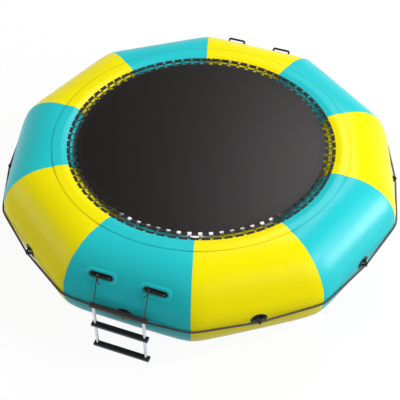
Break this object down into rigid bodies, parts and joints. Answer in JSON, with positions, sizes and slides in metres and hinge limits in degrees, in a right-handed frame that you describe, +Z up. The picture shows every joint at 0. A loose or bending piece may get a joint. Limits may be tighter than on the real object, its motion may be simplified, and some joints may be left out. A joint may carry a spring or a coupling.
{
  "type": "water trampoline",
  "caption": "Ring of welded inflatable tube segments in two colours around a laced jump mat, with grab handles, a grab rope and a hung boarding ladder.",
  "frame": {"origin": "middle of the jump mat's top surface", "axes": "+Z up, square to the mat. -Y points out through the middle of the segment that carries the ladder, and +X runs along that segment"},
  "size_m": [3.2396, 3.1713, 0.7843],
  "materials": {
    "teal_pvc": "semi-gloss coated fabric",
    "yellow_pvc": "semi-gloss coated fabric",
    "black_mat": "woven, satin",
    "black_webbing": "woven, matte",
    "black_cord": "braided, matte",
    "black_rubber": "satin",
    "black_plastic": "moulded",
    "silver_tube": "satin"
  },
  "bodies": {
    "hull": {"tube_segment_01": "teal_pvc", "tube_segment_02": "yellow_pvc", "tube_segment_03": "teal_pvc", "tube_segment_04": "yellow_pvc", "tube_segment_05": "teal_pvc", "tube_segment_06": "yellow_pvc", "tube_segment_07": "teal_pvc", "tube_segment_08": "yellow_pvc", "tube_segment_09": "teal_pvc", "tube_segment_10": "yellow_pvc", "skirt_panel_01": "teal_pvc", "skirt_panel_02": "yellow_pvc", "skirt_panel_03": "teal_pvc", "skirt_panel_04": "yellow_pvc", "skirt_panel_05": "teal_pvc", "skirt_panel_06": "yellow_pvc", "skirt_panel_07": "teal_pvc", "skirt_panel_08": "yellow_pvc", "skirt_panel_09": "teal_pvc", "skirt_panel_10": "yellow_pvc", "ring_webbing": "black_webbing", "mat_webbing": "black_webbing", "mat_border": "black_mat", "lacing_cord_a": "black_cord", "lacing_cord_b": "black_cord", "perimeter_rope": "black_cord", "rope_holder_01": "black_rubber", "rope_holder_02": "black_rubber", "rope_holder_03": "black_rubber", "rope_holder_04": "black_rubber", "rope_holder_05": "black_rubber", "rope_holder_06": "black_rubber", "rope_holder_07": "black_rubber", "rope_holder_08": "black_rubber", "rope_holder_09": "black_rubber", "rope_holder_10": "black_rubber", "grab_handle_front_left": "black_rubber", "handle_patch_front_left": "teal_pvc", "grab_handle_front_right": "black_rubber", "handle_patch_front_right": "teal_pvc", "grab_handle_back_left": "black_rubber", "handle_patch_back_left": "yellow_pvc", "grab_handle_back_right": "black_rubber", "handle_patch_back_right": "yellow_pvc", "valve_base": "black_rubber", "anchor_patch_01": "black_rubber", "anchor_patch_02": "black_rubber", "valve_insert": "black_plastic"},
    "bed": {"jump_bed": "black_mat"},
    "ladder": {"ladder_top_bar": "black_rubber", "ladder_rail_left": "silver_tube", "ladder_rail_right": "silver_tube", "ladder_step_1": "black_plastic", "ladder_step_2": "black_plastic", "hanger_rope_left": "black_cord", "hanger_rope_right": "black_cord"},
    "cap": {"valve_cap": "black_rubber"},
    "flap": {"valve_flap": "black_rubber"},
    "east_ring": {"anchor_ring_01": "silver_tube"},
    "west_ring": {"anchor_ring_02": "silver_tube"}
  },
  "joints": [
    {"name": "bed_bounce", "type": "slide", "parent": "hull", "child": "bed", "axis": [0, 0, 1], "range_m": [-0.25, 0.05], "stiffness_N_per_m": 6000, "springref_m": 0.00187},
    {"name": "ladder_swing", "type": "hinge", "parent": "hull", "child": "ladder", "pos_m": [0, -1.47023, -0.09988], "axis": [-1, 0, 0], "range_deg": [0, 75]},
    {"name": "cap_flip", "type": "hinge", "parent": "hull", "child": "cap", "pos_m": [-0.66947, 1.38216, -0.23573], "axis": [-0.1816, 0.25, -0.9511], "range_deg": [0, 100]},
    {"name": "flap_lift", "type": "slide", "parent": "hull", "child": "flap", "axis": [-0.559, 0.7694, 0.309], "range_m": [-0.004, 0], "stiffness_N_per_m": 300, "springref_m": 0.0005},
    {"name": "east_ring_swing", "type": "hinge", "parent": "hull", "child": "east_ring", "pos_m": [1.31263, 0.4265, -0.65306], "axis": [-0.309, 0.9511, 0], "range_deg": [-115, 45]},
    {"name": "west_ring_swing", "type": "hinge", "parent": "hull", "child": "west_ring", "pos_m": [-1.31263, -0.4265, -0.65306], "axis": [0.309, -0.9511, 0], "range_deg": [-115, 45]}
  ]
}
